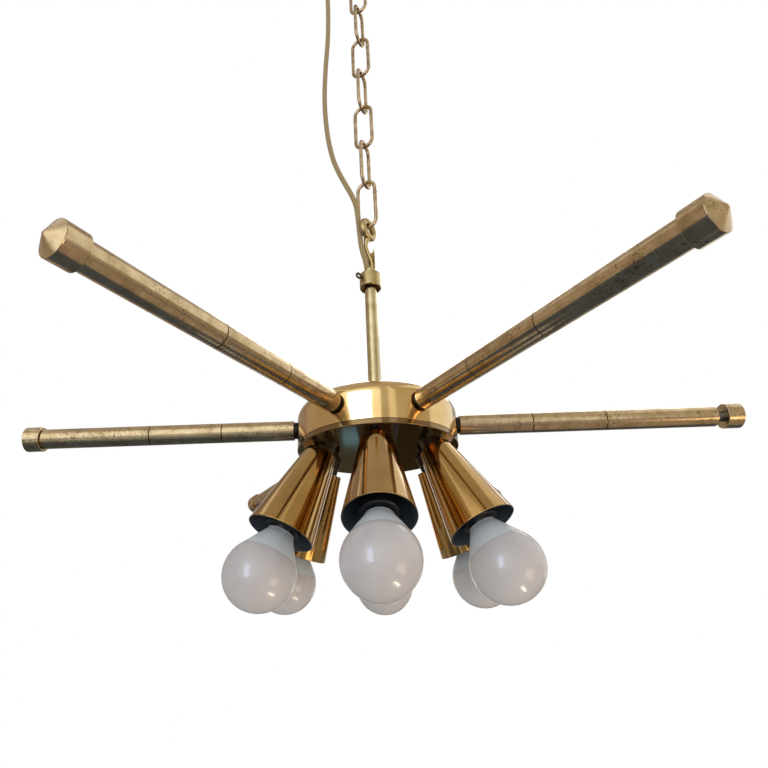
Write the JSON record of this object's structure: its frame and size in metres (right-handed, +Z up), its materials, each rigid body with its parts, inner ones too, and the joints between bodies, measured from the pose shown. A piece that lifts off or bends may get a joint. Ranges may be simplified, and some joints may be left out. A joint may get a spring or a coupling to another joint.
{
  "type": "sputnik chandelier",
  "caption": "Pendant ceiling light on a chain: shallow brass drum with level tubular arms round its side and tilted cone shades with opal golf-ball lamps underneath.",
  "frame": {"origin": "middle of the ceiling face, half way between the two screw holes of the ceiling bracket", "axes": "+Z up, along the chain and stem; +X along the arm whose end cap stands out; -Y towards the viewer of the picture"},
  "size_m": [0.5488, 0.472, 0.746],
  "materials": {
    "brass_polished": "polished, lacquered",
    "brass_aged": "aged, satin, with darker specks",
    "brass_tube": "satin",
    "chain_metal": "satin, slightly coppery",
    "dark_steel": "darkened",
    "zinc": "zinc plated",
    "black_plastic": "matt",
    "white_plastic": "satin",
    "opal": "opal, glossy",
    "cord_fabric": "braided textile over cable"
  },
  "bodies": {
    "root": {"ceiling_bracket": "zinc", "bracket_nipple": "brass_tube", "bracket_nuts": "zinc", "ceiling_canopy": "brass_polished", "ceiling_loop": "brass_tube", "cord_grip": "black_plastic"},
    "pendant": {"arm_end_bushes": "dark_steel", "arm_locknuts": "zinc", "arm_rods": "dark_steel", "arm_seam_bushes": "dark_steel", "arm_sleeves_1": "brass_aged", "arm_sleeves_2": "brass_aged", "arm_sleeves_3": "brass_aged", "arm_sleeves_4": "brass_aged", "arm_sleeves_5": "brass_aged", "arm_sleeves_6": "brass_aged", "chain_links_even": "chain_metal", "chain_links_odd": "chain_metal", "cord": "cord_fabric", "hanger_collar": "brass_tube", "hanger_loop": "brass_tube", "hub_cup": "brass_polished", "hub_lid": "brass_polished", "lamp_holder_1": "black_plastic", "lamp_holder_2": "black_plastic", "lamp_holder_3": "black_plastic", "lamp_holder_4": "black_plastic", "lamp_holder_5": "black_plastic", "lamp_holder_6": "black_plastic", "plate_cap_nut": "brass_polished", "shade_1": "brass_polished", "shade_2": "brass_polished", "shade_3": "brass_polished", "shade_4": "brass_polished", "shade_5": "brass_polished", "shade_6": "brass_polished", "socket_locknuts": "zinc", "socket_nipples": "zinc", "socket_wedges": "brass_tube", "stem_locknuts": "zinc", "stem_tube": "brass_tube"},
    "collar_screw": {"collar_screw": "brass_tube"},
    "arm_cap_1": {"arm_cap_1": "brass_aged"},
    "lamp_1": {"lamp_base_1": "white_plastic", "lamp_globe_1": "opal"},
    "arm_cap_2": {"arm_cap_2": "brass_aged"},
    "lamp_2": {"lamp_base_2": "white_plastic", "lamp_globe_2": "opal"},
    "arm_cap_3": {"arm_cap_3": "brass_aged"},
    "lamp_3": {"lamp_base_3": "white_plastic", "lamp_globe_3": "opal"},
    "arm_cap_4": {"arm_cap_4": "brass_aged"},
    "lamp_4": {"lamp_base_4": "white_plastic", "lamp_globe_4": "opal"},
    "arm_cap_5": {"arm_cap_5": "brass_aged"},
    "lamp_5": {"lamp_base_5": "white_plastic", "lamp_globe_5": "opal"},
    "arm_cap_6": {"arm_cap_6": "brass_aged"},
    "lamp_6": {"lamp_base_6": "white_plastic", "lamp_globe_6": "opal"}
  },
  "joints": [
    {"name": "chain_sway", "type": "hinge", "parent": "root", "child": "pendant", "pos_m": [0, 0, -0.0551], "axis": [0.9063, -0.4226, 0], "range_deg": [-15, 15], "deforming": ["cord"]},
    {"name": "collar_screw_out", "type": "slide", "parent": "pendant", "child": "collar_screw", "axis": [-0.809, -0.5878, 0], "range_m": [0, 0.003]},
    {"name": "arm_cap_1_unscrew", "type": "slide", "parent": "pendant", "child": "arm_cap_1", "axis": [1, 0, 0], "range_m": [-0.0057, 0.0042]},
    {"name": "lamp_1_unscrew", "type": "slide", "parent": "pendant", "child": "lamp_1", "axis": [0.3981, 0.2117, -0.8926], "range_m": [0, 0.026]},
    {"name": "arm_cap_2_unscrew", "type": "slide", "parent": "pendant", "child": "arm_cap_2", "axis": [0.5, 0.866, 0], "range_m": [0, 0.01]},
    {"name": "lamp_2_unscrew", "type": "slide", "parent": "pendant", "child": "lamp_2", "axis": [0.0157, 0.4506, -0.8926], "range_m": [0, 0.026]},
    {"name": "arm_cap_3_unscrew", "type": "slide", "parent": "pendant", "child": "arm_cap_3", "axis": [-0.5, 0.866, 0], "range_m": [0, 0.01]},
    {"name": "lamp_3_unscrew", "type": "slide", "parent": "pendant", "child": "lamp_3", "axis": [-0.3824, 0.2389, -0.8926], "range_m": [0, 0.026]},
    {"name": "arm_cap_4_unscrew", "type": "slide", "parent": "pendant", "child": "arm_cap_4", "axis": [-1, 0, 0], "range_m": [0, 0.01]},
    {"name": "lamp_4_unscrew", "type": "slide", "parent": "pendant", "child": "lamp_4", "axis": [-0.3981, -0.2117, -0.8926], "range_m": [0, 0.026]},
    {"name": "arm_cap_5_unscrew", "type": "slide", "parent": "pendant", "child": "arm_cap_5", "axis": [-0.5, -0.866, 0], "range_m": [0, 0.01]},
    {"name": "lamp_5_unscrew", "type": "slide", "parent": "pendant", "child": "lamp_5", "axis": [-0.0157, -0.4506, -0.8926], "range_m": [0, 0.026]},
    {"name": "arm_cap_6_unscrew", "type": "slide", "parent": "pendant", "child": "arm_cap_6", "axis": [0.5, -0.866, 0], "range_m": [0, 0.01]},
    {"name": "lamp_6_unscrew", "type": "slide", "parent": "pendant", "child": "lamp_6", "axis": [0.3824, -0.2389, -0.8926], "range_m": [0, 0.026]}
  ]
}
